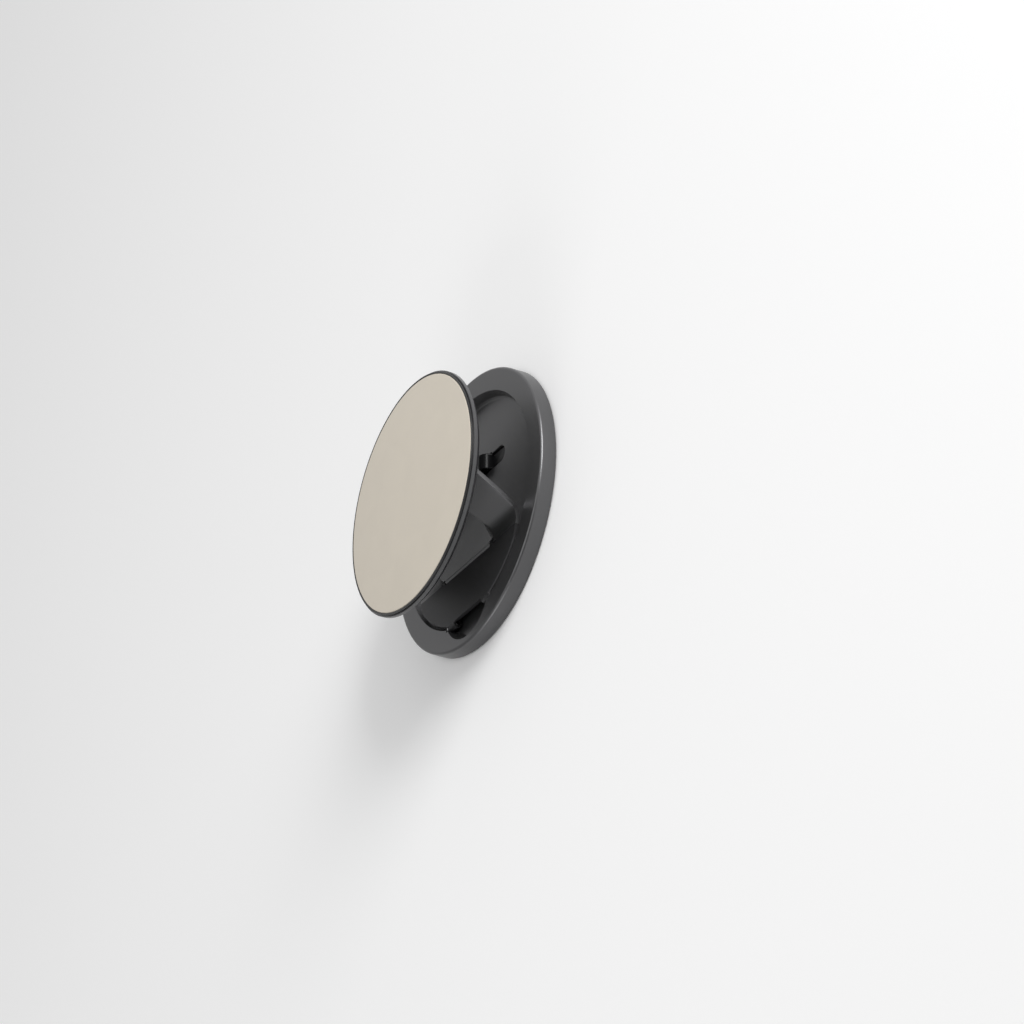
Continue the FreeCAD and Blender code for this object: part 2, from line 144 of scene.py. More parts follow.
# Face, seal and pad
DISC_CENTRE_Y = 0.35
FACE_RADIUS = 23.68
FACE_EDGE_ROUND = 0.16
SEAL_INNER = 23.72
SEAL_OUTER = 24.13
SEAL_ROUND = 0.1
PAD_RADIUS = 27.4
PAD_EDGE_ROUND = 0.1
PAD_GROOVES = (22.4, 26.4)
PAD_GROOVE_WIDTH = 0.5
PAD_GROOVE_DEPTH = 0.12
PAD_GROOVE_ROUND = 0.08
PAD_GROOVE_FLOOR_SHARE = 0.5

# Bent side band: its plan, with the taper at its foot and the window for the prop plate
BAND_RADIUS = 21.55
LEAF_TOP_Y = -11.9
TAPER_HALF = 18.75
TAPER_SLOPE = 0.28
TAPER_END_Y = -9.1
WINDOW_FOOT_HALF = 10.25
WINDOW_HALF = 11.5
WINDOW_FLARE_Y = (-3.5, -1.0)

# Bent side band: its side view, from the root in the leaf to the end under the disc
BAND_THICKNESS = 0.9
BAND_ROOT_Y = -12.1
BAND_FOOT = (-11.46, 3.0)
BAND_BRIDGE_Y = 11.2
BAND_END_Y = 15.5
BAND_TOP_Z = 13.45
LOW_BEND_RADIUS = 3.65
BEND_DEG = 65.0
SLOPE_LENGTH = 8.5

# Bent side band: its round edges and its facets
BAND_EDGE_ROUND = 0.41
BAND_EDGE_SEGMENTS = 4
BAND_EDGE_DEG = 50.0
BAND_SHARP_DEG = 40.0
BEND_STEPS = 20
SLOPE_STEPS = 10
BRIDGE_STEPS = 10
WING_COLUMNS = 12
BRIDGE_COLUMNS = 14

# Screws, with their places on the right half
CLAMP_SCREWS = ((15.0, 5.0), (15.0, 10.0), (6.0, 13.4))
BRACKET_SCREWS = ((5.0, 5.9), (5.0, 9.3))
SCREW_HEAD_RADIUS = 0.9
SCREW_HEAD_HEIGHT = 0.25
SCREW_HEAD_ROUND = 0.07
SCREW_NECK_ROUND = 0.02
SCREW_SHANK_RADIUS = 0.49
SCREW_TIP_ROUND = 0.05
SCREW_SOCKET_RADIUS = 0.38
SCREW_SOCKET_DEPTH = 0.17
SCREW_SOCKET_ROUND = 0.03
SCREW_STEPS = 36
SCREW_TURN = 0.37
BAND_HOLE_RADIUS = 0.8
BAND_HOLE_DEPTH = 3.0
BAND_HOLE_STEPS = 28

# Ring of magnets, open at the bottom beside the hinge
MAGNET_COUNT = 16
MAGNET_INNER = 24.05
MAGNET_OUTER = 27.0
MAGNET_GAP_DEG = 1.2
MAGNET_OPENING_HALF_DEG = 25.0
MAGNET_EDGE = 0.12
MAGNET_EDGE_SEGMENTS = 2
MAGNET_STEPS = 14


# Shader node groups

def group_socket(group, name, direction, kind="NodeSocketFloat"):
    group.interface.new_socket(name=name, in_out=direction, socket_type=kind)


def add_node(tree, kind, **values):
    node = tree.nodes.new(kind)
    for name, value in values.items():
        setattr(node, name, value)
    return node


def math_node(tree, operation, first, second=None, clamp=False):
    """A Math node whose two values are numbers or the outputs of other nodes."""
    node = add_node(tree, "ShaderNodeMath", operation=operation, use_clamp=clamp)
    for number, value in enumerate((first, second)):
        if value is None:
            continue
        if isinstance(value, (int, float)):
            node.inputs[number].default_value = value
        else:
            tree.links.new(value, node.inputs[number])
    return node.outputs[0]


def make_fine_grain():
    """Moulded or sprayed grain: a height from two sizes of noise, in Object coordinates."""
    group = bpy.data.node_groups.new("fine_grain", "ShaderNodeTree")
    group_socket(group, "Scale", "INPUT")
    group_socket(group, "Coarse share", "INPUT")
    group_socket(group, "Height", "OUTPUT")
    given = add_node(group, "NodeGroupInput")
    out = add_node(group, "NodeGroupOutput")
    place = add_node(group, "ShaderNodeTexCoord")
    fine = add_node(group, "ShaderNodeTexNoise")
    fine.inputs["Detail"].default_value = GRAIN_DETAIL
    coarse = add_node(group, "ShaderNodeTexNoise")
    coarse.inputs["Detail"].default_value = COARSE_DETAIL
    group.links.new(place.outputs["Object"], fine.inputs["Vector"])
    group.links.new(place.outputs["Object"], coarse.inputs["Vector"])
    group.links.new(given.outputs["Scale"], fine.inputs["Scale"])
    coarse_scale = math_node(group, "MULTIPLY", given.outputs["Scale"], COARSE_RATIO)
    group.links.new(coarse_scale, coarse.inputs["Scale"])
    share = math_node(group, "MULTIPLY", coarse.outputs["Fac"], given.outputs["Coarse share"])
    group.links.new(math_node(group, "ADD", fine.outputs["Fac"], share), out.inputs["Height"])
    return group


def make_handling():
    """Faint smears from handling: a slow mask that shifts the roughness and the tone."""
    group = bpy.data.node_groups.new("handling", "ShaderNodeTree")
    group_socket(group, "Scale", "INPUT")
    group_socket(group, "Roughness", "INPUT")
    group_socket(group, "Swing", "INPUT")
    group_socket(group, "Roughness out", "OUTPUT")
    group_socket(group, "Mask", "OUTPUT")
    given = add_node(group, "NodeGroupInput")
    out = add_node(group, "NodeGroupOutput")
    place = add_node(group, "ShaderNodeTexCoord")
    slow = add_node(group, "ShaderNodeTexNoise")
    slow.inputs["Detail"].default_value = SMEAR_DETAIL
    slow.inputs["Distortion"].default_value = SMEAR_DISTORTION
    group.links.new(place.outputs["Object"], slow.inputs["Vector"])
    group.links.new(given.outputs["Scale"], slow.inputs["Scale"])
    centred = math_node(group, "SUBTRACT", slow.outputs["Fac"], NOISE_MIDDLE)
    shift = math_node(group, "MULTIPLY", centred, given.outputs["Swing"])
    total = math_node(group, "ADD", given.outputs["Roughness"], shift, clamp=True)
    group.links.new(total, out.inputs["Roughness out"])
    group.links.new(slow.outputs["Fac"], out.inputs["Mask"])
    return group


def make_brushed():
    """Drawn or ground metal: noise stretched by its own scale along each axis."""
    group = bpy.data.node_groups.new("brushed", "ShaderNodeTree")
    group_socket(group, "Along", "INPUT", "NodeSocketVector")
    group_socket(group, "Height", "OUTPUT")
    given = add_node(group, "NodeGroupInput")
    out = add_node(group, "NodeGroupOutput")
    place = add_node(group, "ShaderNodeTexCoord")
    stretch = add_node(group, "ShaderNodeVectorMath", operation="MULTIPLY")
    lines = add_node(group, "ShaderNodeTexNoise")
    lines.inputs["Scale"].default_value = 1.0
    lines.inputs["Detail"].default_value = GRAIN_DETAIL
    group.links.new(place.outputs["Object"], stretch.inputs[0])
    group.links.new(given.outputs["Along"], stretch.inputs[1])
    group.links.new(stretch.outputs[0], lines.inputs["Vector"])
    group.links.new(lines.outputs["Fac"], out.inputs["Height"])
    return group


FINE_GRAIN = make_fine_grain()
HANDLING = make_handling()
BRUSHED = make_brushed()


# Materials

def placed_group(tree, group, **values):
    """A node group in a material, with its inputs set by name."""
    node = add_node(tree, "ShaderNodeGroup", node_tree=group)
    for name, value in values.items():
        node.inputs[name.replace("_", " ")].default_value = value
    return node


def finish_material(name, color, rough, metallic=0.0, swing=SMEAR_SWING, smear_scale=SMEAR_SCALE,
                    grain_scale=GRAIN_SCALE, grain_depth=GRAIN_DEPTH, grain_strength=0.3,
                    coarse=COARSE_SHARE, tone=0.06, specular=0.5, sheen=0.0, brushed=None):
    """A Principled finish with its own grain, its own smears and a slow change of tone."""
    material = bpy.data.materials.new(name)
    material.use_nodes = True
    tree = material.node_tree
    shader = tree.nodes["Principled BSDF"]
    shader.inputs["Metallic"].default_value = metallic
    shader.inputs["Specular IOR Level"].default_value = specular
    shader.inputs["Sheen Weight"].default_value = sheen
    shader.inputs["Sheen Roughness"].default_value = SHEEN_ROUGHNESS
    smear = placed_group(tree, HANDLING, Scale=smear_scale, Roughness=rough, Swing=swing)
    tree.links.new(smear.outputs["Roughness out"], shader.inputs["Roughness"])
    blend = add_node(tree, "ShaderNodeMix", data_type="RGBA")
    dark = [channel * (1 - tone) for channel in color]
    light = [min(1.0, channel * (1 + tone)) for channel in color]
    blend.inputs["A"].default_value = (*dark, 1)
    blend.inputs["B"].default_value = (*light, 1)
    tree.links.new(smear.outputs["Mask"], blend.inputs["Factor"])
    tree.links.new(blend.outputs["Result"], shader.inputs["Base Color"])
    if brushed:
        height = placed_group(tree, BRUSHED, Along=brushed)
    else:
        height = placed_group(tree, FINE_GRAIN, Scale=grain_scale, Coarse_share=coarse)
    bump = add_node(tree, "ShaderNodeBump")
    bump.inputs["Strength"].default_value = grain_strength
    bump.inputs["Distance"].default_value = grain_depth * MM
    tree.links.new(height.outputs["Height"], bump.inputs["Height"])
    tree.links.new(bump.outputs["Normal"], shader.inputs["Normal"])
    return material


def make_materials():
    """One material for each slot of the record."""
    made = {}

    def add(slot, **values):
        made[slot] = finish_material(slot, **values)

    add("tray_black", color=(0.125, 0.125, 0.128), rough=0.36, metallic=0.85, tone=0.04,
        **SATIN_COAT)
    add("cover_black", color=(0.03, 0.03, 0.032), rough=0.5)
    add("pad_rubber", color=(0.035, 0.035, 0.037), rough=0.72, grain_scale=2600.0,
        grain_depth=0.04, grain_strength=0.6, sheen=0.1)
    add("magnet_nickel", color=(0.66, 0.65, 0.61), rough=0.24, metallic=1.0, tone=0.03,
        grain_strength=0.1)
    add("plain_steel", color=(0.5, 0.5, 0.5), rough=0.34, metallic=1.0,
        brushed=(90.0, 3200.0, 3200.0), grain_depth=0.008)
    add("pin_steel", color=(0.58, 0.58, 0.59), rough=0.22, metallic=1.0,
        brushed=(5200.0, 220.0, 220.0), grain_depth=0.005)
    add("pin_black", color=(0.09, 0.09, 0.092), rough=0.3, metallic=1.0, grain_strength=0.1)
    add("catch_gloss", color=(0.006, 0.006, 0.0065), rough=0.3, specular=0.12, swing=0.03,
        grain_strength=0.08)
    # The leaf has the band's finish, made darker: its dark colour is painted shade from the disc
    # above it.
    add("leaf_black", color=(0.06, 0.06, 0.062), rough=0.5, metallic=0.7, tone=0.05,
        **SATIN_COAT)
    add("band_black", color=(0.15, 0.15, 0.153), rough=0.4, metallic=0.85, tone=0.05,
        **SATIN_COAT)
    # The prop plate, slide bracket and band clamp have their own dark grey lifted to a lighter grey:
    # partly their own colour and partly painted light for the light that reaches them under the disc.
    add("plate_grey", color=(0.19, 0.19, 0.193), rough=0.5, specular=0.4, tone=0.04)
    add("disc_metal", color=(0.045, 0.045, 0.047), rough=0.3, specular=0.7, tone=0.03)
    add("seal_black", color=(0.004, 0.004, 0.0045), rough=0.25, tone=0.02, grain_strength=0.1)
    add("backing_board", color=(0.35, 0.34, 0.32), rough=0.8, grain_scale=1800.0,
        grain_strength=0.5)
    add("face_leather", color=(0.56, 0.51, 0.43), rough=0.62, swing=0.08, smear_scale=120.0,
        grain_scale=3000.0, grain_depth=0.03, grain_strength=0.35, coarse=0.7, tone=0.045,
        specular=0.35, sheen=0.08)
    add("screw_steel", color=(0.22, 0.22, 0.23), rough=0.28, metallic=1.0, grain_strength=0.1)
    return made


MATERIALS = make_materials()


# Mesh helpers

def metres(*lengths):
    return tuple(length * MM for length in lengths)


def node_heights(node):
    """The bottom and the top of a CAD node, in millimetres."""
    low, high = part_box(node)
    return low.z / MM, high.z / MM


def link_object(name, mesh):
    piece = bpy.data.objects.new(name, mesh)
    bpy.context.scene.collection.objects.link(piece)
    return piece


def mesh_from(name, work):
    bmesh.ops.recalc_face_normals(work, faces=work.faces)
    mesh = bpy.data.meshes.new(name)
    work.to_mesh(mesh)
    work.free()
    return mesh


def bake_modifiers(piece):
    """Turn a piece with live modifiers into a plain mesh."""
    depsgraph = bpy.context.evaluated_depsgraph_get()
    mesh = bpy.data.meshes.new_from_object(piece.evaluated_get(depsgraph))
    mesh.name = piece.name
    piece.modifiers.clear()
    piece.data = mesh
    return piece


def smooth_faces(mesh, sharp_deg=SHARP_DEG):
    mesh.shade_smooth()
    mesh.set_sharp_from_angle(angle=math.radians(sharp_deg))


def bevel_piece(piece, width, segments=EASED_SEGMENTS, angle_deg=EASED_DEG):
    bevel = piece.modifiers.new("edge", "BEVEL")
    bevel.width = width * MM
    bevel.segments = segments
    bevel.limit_method = "ANGLE"
    bevel.angle_limit = math.radians(angle_deg)
    bevel.harden_normals = False
    bevel.use_clamp_overlap = True


def place_piece(piece, body, slot, node):
    """Give a finished piece its material and its body, and hide the CAD node that it stands for."""
    piece.data.materials.clear()
    piece.data.materials.append(MATERIALS[slot])
    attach(piece, body)
    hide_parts(node)
    return piece


def rounded_outline(corners, steps=ARC_STEPS):
    """A closed outline of (radius, height) points, with an arc at each corner that has a size."""
    points = []
    count = len(corners)
    for number, (r, z, size) in enumerate(corners):
        here = Vector((r, z))
        if not size:
            points.append(here)
            continue
        before = Vector(corners[number - 1][:2])
        after = Vector(corners[(number + 1) % count][:2])
        start = here + (before - here).normalized() * size
        end = here + (after - here).normalized() * size
        for step in range(steps + 1):
            share = step / steps
            points.append(start.lerp(here, share).lerp(here.lerp(end, share), share))
    return points


def turned_ring(work, r, z, centre_y, steps):
    """One ring of a turned piece, or a single point where it meets the axis."""
    if r < NEAR:
        return [work.verts.new(metres(0, centre_y, z))]
    ring = []
    for step in range(steps):
        turn = 2 * math.pi * step / steps
        place = metres(r * math.cos(turn), centre_y + r * math.sin(turn), z)
        ring.append(work.verts.new(place))
    return ring


def join_rings(work, first, second):
    """The faces between two neighbouring rings, or between a ring and a point on the axis."""
    if len(first) == 1 and len(second) == 1:
        return
    steps = max(len(first), len(second))
    for step in range(steps):
        after = (step + 1) % steps
        if len(first) == 1:
            work.faces.new((first[0], second[step], second[after]))
        elif len(second) == 1:
            work.faces.new((first[step], second[0], first[after]))
        else:
            work.faces.new((first[step], second[step], second[after], first[after]))


def lathe(name, outline, centre_y=0.0, steps=ROUND_STEPS):
    """Turn an outline of (radius, height) points round a vertical axis, closed at the poles."""
    work = bmesh.new()
    rings = [turned_ring(work, r, z, centre_y, steps) for r, z in outline]
    for number, ring in enumerate(rings):
        join_rings(work, ring, rings[(number + 1) % len(rings)])
    mesh = mesh_from(name, work)
    smooth_faces(mesh)
    return link_object(name, mesh)


# Pieces that keep the shape of their CAD node

def merged_copy(node, name):
    """The CAD node's mesh with its loose triangles joined and its flat areas made one face."""
    work = bmesh.new()
    work.from_mesh(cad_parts[node].data)
    bmesh.ops.remove_doubles(work, verts=work.verts, dist=NEAR * MM)
    if node == "base_tray":
        square_top_round(work)
    bmesh.ops.dissolve_limit(work, angle_limit=math.radians(FLAT_DEG), verts=work.verts,
                             edges=work.edges)
    if node == "base_tray":
        even_top_round(work)
    mesh = bpy.data.meshes.new(name)
    work.to_mesh(mesh)
    work.free()
    return link_object(name, mesh)


def radius_of(vert):
    """A corner's distance from the upright axis."""
    return math.hypot(vert.co.x, vert.co.y) / MM


def turn_of(vert):
    """A corner's angle round the upright axis."""
    return math.atan2(vert.co.y, vert.co.x)


def height_of(vert):
    return vert.co.z / MM


def square_top_round(work):
    """Take the uneven facets of the tray's top round out to a square corner."""
    foot = TRAY_TOP - TRAY_ROUND
    wall = []
    facets = []
    for vert in work.verts:
        radius = radius_of(vert)
        height = height_of(vert)
        if radius > TRAY_RADIUS - ROUND_SLACK and abs(height - foot) < ROUND_SLACK:
            wall.append(turn_of(vert))
        elif radius > TRAY_RADIUS - TRAY_ROUND + ROUND_SLACK and height > foot + ROUND_SLACK:
            facets.append(vert)
    for vert in facets:
        turn = turn_of(vert)
        near = min(wall, key=lambda other: abs(math.remainder(other - turn, 2 * math.pi)))
        corner = Vector((TRAY_RADIUS * math.cos(near), TRAY_RADIUS * math.sin(near), TRAY_TOP))
        vert.co = corner * MM
    bmesh.ops.remove_doubles(work, verts=work.verts, dist=TRAY_CORNER_GAP * MM)
    bmesh.ops.dissolve_degenerate(work, dist=NEAR * MM, edges=work.edges)


def at_square_corner(vert):
    at_wall = radius_of(vert) > TRAY_RADIUS - ROUND_SLACK
    at_top = height_of(vert) > TRAY_TOP - ROUND_SLACK
    return at_wall and at_top


def even_top_round(work):
    """Round the tray's square top corner again, in even steps."""
    corner = [edge for edge in work.edges if all(at_square_corner(vert) for vert in edge.verts)]
    bmesh.ops.bevel(work, geom=corner, offset=TRAY_ROUND * MM, segments=TRAY_ROUND_SEGMENTS,
                    profile=CIRCLE_PROFILE, affect="EDGES", clamp_overlap=False)


def eased_piece(node, body, slot, edge_width):
    """A rigid piece with its CAD shape and small eased edges that catch the light."""
    piece = merged_copy(node, node + "_eased")
    angle = ROUNDED_DEG if node in ROUNDED else EASED_DEG
    bevel_piece(piece, edge_width, EASED_SEGMENTS, angle)
    bake_modifiers(piece)
    smooth_faces(piece.data, angle)
    even = piece.modifiers.new("even", "WEIGHTED_NORMAL")
    even.keep_sharp = True
    bake_modifiers(piece)
    return place_piece(piece, body, slot, node)


# Face, seal and pad

def make_face_inlay():
    """The pale face, with its outer edge slightly rounded."""
    bottom, top = node_heights("face_inlay")
    outline = rounded_outline([(0, bottom, 0), (FACE_RADIUS, bottom, 0),
                               (FACE_RADIUS, top, FACE_EDGE_ROUND), (0, top, 0)])
    piece = lathe("face_inlay_turned", outline, DISC_CENTRE_Y)
    return place_piece(piece, "disc", "face_leather", "face_inlay")


def make_seal_ring():
    """The black ring between the face and the disc's edge."""
    bottom, top = node_heights("seal_ring")
    outline = rounded_outline([(SEAL_INNER, bottom, 0), (SEAL_OUTER, bottom, 0),
                               (SEAL_OUTER, top, SEAL_ROUND), (SEAL_INNER, top, SEAL_ROUND)])
    piece = lathe("seal_ring_turned", outline, DISC_CENTRE_Y)
    return place_piece(piece, "disc", "seal_black", "seal_ring")


def make_back_pad():
    """The soft pad under the base, with two shallow ring grooves in its outer side."""
    top = node_heights("back_pad")[1]
    half = PAD_GROOVE_WIDTH / 2
    floor_half = half * PAD_GROOVE_FLOOR_SHARE
    corners = [(0, top, 0), (0, 0, 0)]
    for radius in PAD_GROOVES:
        corners.append((radius - half, 0, PAD_GROOVE_ROUND))
        corners.append((radius - floor_half, PAD_GROOVE_DEPTH, PAD_GROOVE_ROUND))
        corners.append((radius + floor_half, PAD_GROOVE_DEPTH, PAD_GROOVE_ROUND))
        corners.append((radius + half, 0, PAD_GROOVE_ROUND))
    corners.append((PAD_RADIUS, 0, PAD_EDGE_ROUND))
    corners.append((PAD_RADIUS, top, 0))
    piece = lathe("back_pad_turned", rounded_outline(corners, SMALL_ARC_STEPS))
    return place_piece(piece, "base", "pad_rubber", "back_pad")


# Bent side band

def bend_points(start, radius, angle, steps):
    """Points along a bend from one slope to another, as (y, z, angle)."""
    y, z, first = start
    side = 1 if angle > first else -1
    points = []
    for step in range(1, steps + 1):
        now = first + (angle - first) * step / steps
        points.append((y + side * radius * (math.sin(now) - math.sin(first)),
                       z + side * radius * (math.cos(first) - math.cos(now)), now))
    return points


def band_profile():
    """The band's middle line from the leaf to the disc, as (y, z) points."""
    turn = math.radians(BEND_DEG)
    foot_z = BAND_FOOT[1]
    low = bend_points((*BAND_FOOT, 0.0), LOW_BEND_RADIUS, turn, BEND_STEPS)
    y, z = low[-1][:2]
    slope = []
    for step in range(1, SLOPE_STEPS + 1):
        run = SLOPE_LENGTH * step / SLOPE_STEPS
        slope.append((y + run * math.cos(turn), z + run * math.sin(turn), turn))
    high_radius = (BAND_TOP_Z - slope[-1][1]) / (1 - math.cos(turn))
    high = bend_points(slope[-1], high_radius, 0.0, BEND_STEPS)
    line = [(BAND_ROOT_Y, foot_z), (LEAF_TOP_Y, foot_z), BAND_FOOT]
    line += [point[:2] for point in low + slope + high]
    last_y = line[-1][0]
    for target in (BAND_BRIDGE_Y, BAND_END_Y):
        for step in range(1, BRIDGE_STEPS + 1):
            line.append((last_y + (target - last_y) * step / BRIDGE_STEPS, BAND_TOP_Z))
        last_y = target
    return line


def band_columns(y):
    """Places across the band at this y: left wing, middle, right wing."""
    outer = math.sqrt(BAND_RADIUS ** 2 - y ** 2)
    if y < TAPER_END_Y:
        outer = TAPER_HALF + TAPER_SLOPE * (y - LEAF_TOP_Y)
    flare = (y - WINDOW_FLARE_Y[0]) / (WINDOW_FLARE_Y[1] - WINDOW_FLARE_Y[0])
    inner = WINDOW_FOOT_HALF + (WINDOW_HALF - WINDOW_FOOT_HALF) * min(max(flare, 0), 1)
    wing = [inner + (outer - inner) * step / WING_COLUMNS for step in range(WING_COLUMNS + 1)]
    middle = [-inner + 2 * inner * step / BRIDGE_COLUMNS for step in range(1, BRIDGE_COLUMNS)]
    return [-x for x in reversed(wing)] + middle + wing


def band_sheet():
    """The band's middle surface, open up to the bridge for the prop plate."""
    work = bmesh.new()
    line = band_profile()
    grid = [[work.verts.new(metres(x, y, z)) for x in band_columns(y)] for y, z in line]
    window = range(WING_COLUMNS, WING_COLUMNS + BRIDGE_COLUMNS)
    for row in range(len(line) - 1):
        below_bridge = line[row + 1][0] < BAND_BRIDGE_Y + NEAR
        for column in range(len(grid[row]) - 1):
            if below_bridge and column in window:
                continue
            work.faces.new((grid[row][column], grid[row][column + 1],
                            grid[row + 1][column + 1], grid[row + 1][column]))
    loose = [vert for vert in work.verts if not vert.link_faces]
    bmesh.ops.delete(work, geom=loose, context="VERTS")
    return link_object("side_band_bent", mesh_from("side_band_bent", work))


def screw_points(places):
    """The places on both halves, from those on the right half."""
    return [(side * x, y) for x, y in places for side in (-1, 1)]


def hole_cutter():
    """The holes that the clamp's screws pass through."""
    work = bmesh.new()
    radius = BAND_HOLE_RADIUS * MM
    for x, y in screw_points(CLAMP_SCREWS):
        place = Matrix.Translation(metres(x, y, BAND_TOP_Z))
        bmesh.ops.create_cone(work, cap_ends=True, segments=BAND_HOLE_STEPS, radius1=radius,
                              radius2=radius, depth=BAND_HOLE_DEPTH * MM, matrix=place)
    return link_object("hole_cutter", mesh_from("hole_cutter", work))


def make_side_band():
    """A bent sheet of even thickness with round edges."""
    piece = band_sheet()
    wall = piece.modifiers.new("wall", "SOLIDIFY")
    wall.thickness = BAND_THICKNESS * MM
    wall.offset = 0.0
    wall.use_even_offset = True
    cutter = hole_cutter()
    holes = piece.modifiers.new("holes", "BOOLEAN")
    holes.operation = "DIFFERENCE"
    holes.solver = "EXACT"
    holes.object = cutter
    bevel_piece(piece, BAND_EDGE_ROUND, BAND_EDGE_SEGMENTS, BAND_EDGE_DEG)
    bake_modifiers(piece)
    bpy.data.objects.remove(cutter)
    smooth_faces(piece.data, BAND_SHARP_DEG)
    place_piece(piece, "arm", "band_black", "side_band")
    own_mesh(piece)
    return piece


# Screws and magnets, repeated by Geometry Nodes

def scatter_tree(name):
    """Geometry Nodes: an instance of one object on each point, turned about Z by an attribute."""
    tree = bpy.data.node_groups.new(name, "GeometryNodeTree")
    group_socket(tree, "Geometry", "INPUT", "NodeSocketGeometry")
    group_socket(tree, "Model", "INPUT", "NodeSocketObject")
    group_socket(tree, "Finish", "INPUT", "NodeSocketMaterial")
    group_socket(tree, "Geometry", "OUTPUT", "NodeSocketGeometry")
    given = add_node(tree, "NodeGroupInput")
    out = add_node(tree, "NodeGroupOutput")
    points = add_node(tree, "GeometryNodeMeshToPoints")
    model = add_node(tree, "GeometryNodeObjectInfo")
    turn = add_node(tree, "GeometryNodeInputNamedAttribute", data_type="FLOAT")
    turn.inputs["Name"].default_value = "turn"
    angles = add_node(tree, "ShaderNodeCombineXYZ")
    copies = add_node(tree, "GeometryNodeInstanceOnPoints")
    real = add_node(tree, "GeometryNodeRealizeInstances")
    paint = add_node(tree, "GeometryNodeSetMaterial")
    links = tree.links
    links.new(given.outputs["Geometry"], points.inputs["Mesh"])
    links.new(given.outputs["Model"], model.inputs["Object"])
    links.new(turn.outputs["Attribute"], angles.inputs["Z"])
    links.new(points.outputs["Points"], copies.inputs["Points"])
    links.new(model.outputs["Geometry"], copies.inputs["Instance"])
    links.new(angles.outputs["Vector"], copies.inputs["Rotation"])
    links.new(copies.outputs["Instances"], real.inputs["Geometry"])
    links.new(real.outputs["Geometry"], paint.inputs["Geometry"])
    links.new(given.outputs["Finish"], paint.inputs["Material"])
    links.new(paint.outputs["Geometry"], out.inputs["Geometry"])
    return tree


SCATTER = scatter_tree("scatter")


def scatter(name, model, points, turns, finish):
    """A plain mesh of copies of model, one at each point, turned by its own angle."""
    mesh = bpy.data.meshes.new(name)
    mesh.from_pydata([metres(*point) for point in points], [], [])
    mesh.attributes.new("turn", "FLOAT", "POINT").data.foreach_set("value", turns)
    piece = link_object(name, mesh)
    modifier = piece.modifiers.new("scatter", "NODES")
    modifier.node_group = SCATTER
    values = {"Model": model, "Finish": finish}
    for item in SCATTER.interface.items_tree:
        if item.in_out == "INPUT" and item.name in values:
            modifier[item.identifier] = values[item.name]
    bake_modifiers(piece)
    smooth_faces(piece.data)
    return piece


def screw_model(length):
    """A small screw, head down, with a six-sided socket and eased edges."""
    outline = rounded_outline([
        (0, SCREW_SOCKET_DEPTH, 0),
        (SCREW_SOCKET_RADIUS, SCREW_SOCKET_DEPTH, 0),
        (SCREW_SOCKET_RADIUS, 0, SCREW_SOCKET_ROUND),
        (SCREW_HEAD_RADIUS, 0, SCREW_HEAD_ROUND),
        (SCREW_HEAD_RADIUS, SCREW_HEAD_HEIGHT, SCREW_NECK_ROUND),
        (SCREW_SHANK_RADIUS, SCREW_HEAD_HEIGHT, 0),
        (SCREW_SHANK_RADIUS, length, SCREW_TIP_ROUND),
        (0, length, 0)], SMALL_ARC_STEPS)
    piece = lathe("screw_model", outline, 0.0, SCREW_STEPS)
    six_sided_socket(piece.data)
    return piece


def six_sided_socket(mesh):
    """Pull the round socket's wall in to a hexagon."""
    half_side = math.pi / 6
    for vert in mesh.vertices:
        if radius_of(vert) < NEAR or radius_of(vert) > SCREW_SOCKET_RADIUS + NEAR:
            continue
        from_flat = turn_of(vert) % (2 * half_side) - half_side
        share = math.cos(half_side) / math.cos(from_flat)
        vert.co.x *= share
        vert.co.y *= share


def make_screws(name, places, node):
    """One screw at each place on both halves, as high as the CAD node's own screws."""
    bottom, top = node_heights(node)
    model = screw_model(top - bottom)
    points = [(x, y, bottom) for x, y in screw_points(places)]
    turns = [SCREW_TURN * number for number in range(len(points))]
    piece = scatter(name, model, points, turns, MATERIALS["screw_steel"])
    bpy.data.objects.remove(model)
    return place_piece(piece, "disc", "screw_steel", node)


def magnet_model(sweep_deg):
    """One magnet of the ring, a short arc with eased edges, starting at the +X axis."""
    bottom, top = node_heights("ring_magnets")
    section = ((MAGNET_INNER, bottom), (MAGNET_OUTER, bottom), (MAGNET_OUTER, top),
               (MAGNET_INNER, top))
    work = bmesh.new()
    rings = []
    for step in range(MAGNET_STEPS + 1):
        turn = math.radians(sweep_deg) * step / MAGNET_STEPS
        ring = [work.verts.new(metres(r * math.cos(turn), r * math.sin(turn), z)) for r, z in section]
        rings.append(ring)
    for first, second in zip(rings, rings[1:]):
        for side in range(len(section)):
            after = (side + 1) % len(section)
            work.faces.new((first[side], first[after], second[after], second[side]))
    work.faces.new(rings[0])
    work.faces.new(rings[-1])
    piece = link_object("magnet_model", mesh_from("magnet_model", work))
    bevel_piece(piece, MAGNET_EDGE, MAGNET_EDGE_SEGMENTS)
    return bake_modifiers(piece)


def make_ring_magnets():
    """The magnets in a ring, with even gaps and the opening centred on the -Y axis."""
    span = 360 - 2 * MAGNET_OPENING_HALF_DEG
    pitch = span / MAGNET_COUNT
    model = magnet_model(pitch - MAGNET_GAP_DEG)
    first = MAGNET_OPENING_HALF_DEG - 90 + MAGNET_GAP_DEG / 2
    turns = [math.radians(first + number * pitch) for number in range(MAGNET_COUNT)]
    points = [(0, 0, 0)] * MAGNET_COUNT
    piece = scatter("ring_magnets_set", model, points, turns, MATERIALS["magnet_nickel"])
    bpy.data.objects.remove(model)
    return place_piece(piece, "base", "magnet_nickel", "ring_magnets")


# Floor, light and camera

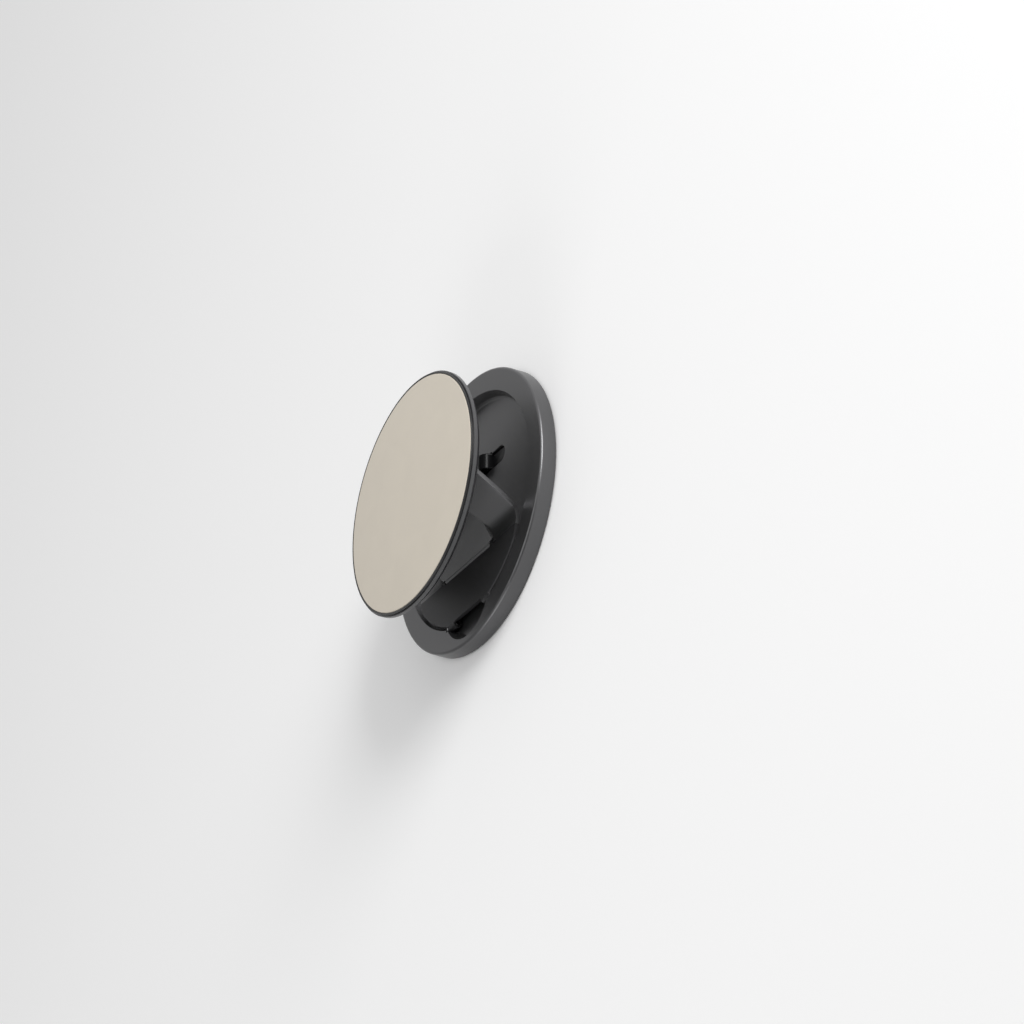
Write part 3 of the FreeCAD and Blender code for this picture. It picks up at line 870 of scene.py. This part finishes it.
def make_floor():
    """A wide pale floor: near white as it is seen or mirrored, and greyer as bounce."""
    mesh = bpy.data.meshes.new("floor")
    half = FLOOR_HALF
    mesh.from_pydata([(-half, -half, 0), (half, -half, 0), (half, half, 0), (-half, half, 0)],
                     [], [(0, 1, 2, 3)])
    floor = link_object("floor", mesh)
    material = bpy.data.materials.new("floor")
    material.use_nodes = True
    tree = material.node_tree
    shader = tree.nodes["Principled BSDF"]
    rays = add_node(tree, "ShaderNodeLightPath")
    tone = add_node(tree, "ShaderNodeMix", data_type="RGBA")
    tone.inputs["A"].default_value = (*FLOOR_BOUNCE, 1)
    tone.inputs["B"].default_value = (*FLOOR_SEEN, 1)
    seen = math_node(tree, "ADD", rays.outputs["Is Camera Ray"], rays.outputs["Is Glossy Ray"])
    seen = math_node(tree, "ADD", seen, rays.outputs["Is Transmission Ray"], clamp=True)
    tree.links.new(seen, tone.inputs["Factor"])
    tree.links.new(tone.outputs["Result"], shader.inputs["Base Color"])
    shader.inputs["Roughness"].default_value = FLOOR_ROUGHNESS
    shader.inputs["Specular IOR Level"].default_value = FLOOR_SPECULAR
    mesh.materials.append(material)


def area_light(name, place, size, power):
    """A rectangular light that faces the grip."""
    lamp = bpy.data.lights.new(name, "AREA")
    lamp.shape = "RECTANGLE"
    lamp.size, lamp.size_y = size
    lamp.energy = power
    light = bpy.data.objects.new(name, lamp)
    light.location = place
    aim = Vector(LIGHT_TARGET) - Vector(place)
    light.rotation_euler = aim.to_track_quat("-Z", "Y").to_euler()
    bpy.context.scene.collection.objects.link(light)


def make_world():
    """A plain room whose light changes evenly along Y."""
    world = bpy.data.worlds.new("studio")
    world.use_nodes = True
    tree = world.node_tree
    background = tree.nodes["Background"]
    background.inputs["Color"].default_value = WORLD_COLOR
    place = add_node(tree, "ShaderNodeTexCoord")
    sides = add_node(tree, "ShaderNodeSeparateXYZ")
    tree.links.new(place.outputs["Generated"], sides.inputs[0])
    swing = math_node(tree, "MULTIPLY", sides.outputs["Y"], WORLD_SWING)
    tree.links.new(math_node(tree, "ADD", swing, WORLD_MIDDLE), background.inputs["Strength"])
    bpy.context.scene.world = world


def make_camera():
    data = bpy.data.cameras.new("camera")
    data.lens = CAMERA_LENS
    data.sensor_width = CAMERA_SENSOR
    data.clip_end = CAMERA_REACH
    camera = bpy.data.objects.new("camera", data)
    up = Vector(CAMERA_UP).normalized()
    back = Vector(CAMERA_BACK).normalized()
    right = up.cross(back).normalized()
    turn = Matrix((right, back.cross(right), back)).transposed()
    camera.matrix_world = Matrix.Translation(CAMERA_PLACE) @ turn.to_4x4()
    bpy.context.scene.collection.objects.link(camera)
    bpy.context.scene.camera = camera


def main():
    bpy.context.scene.view_settings.view_transform = "Standard"
    make_camera()
    for name, place, size, power in LIGHT_BOXES:
        area_light(name, place, size, power)
    make_world()
    make_floor()
    for node, body, slot, edge_width in EASED:
        eased_piece(node, body, slot, edge_width)
    make_face_inlay()
    make_seal_ring()
    make_back_pad()
    make_side_band()
    make_screws("clamp_screws_set", CLAMP_SCREWS, "clamp_screws")
    make_screws("bracket_screws_set", BRACKET_SCREWS, "bracket_screws")
    make_ring_magnets()


main()
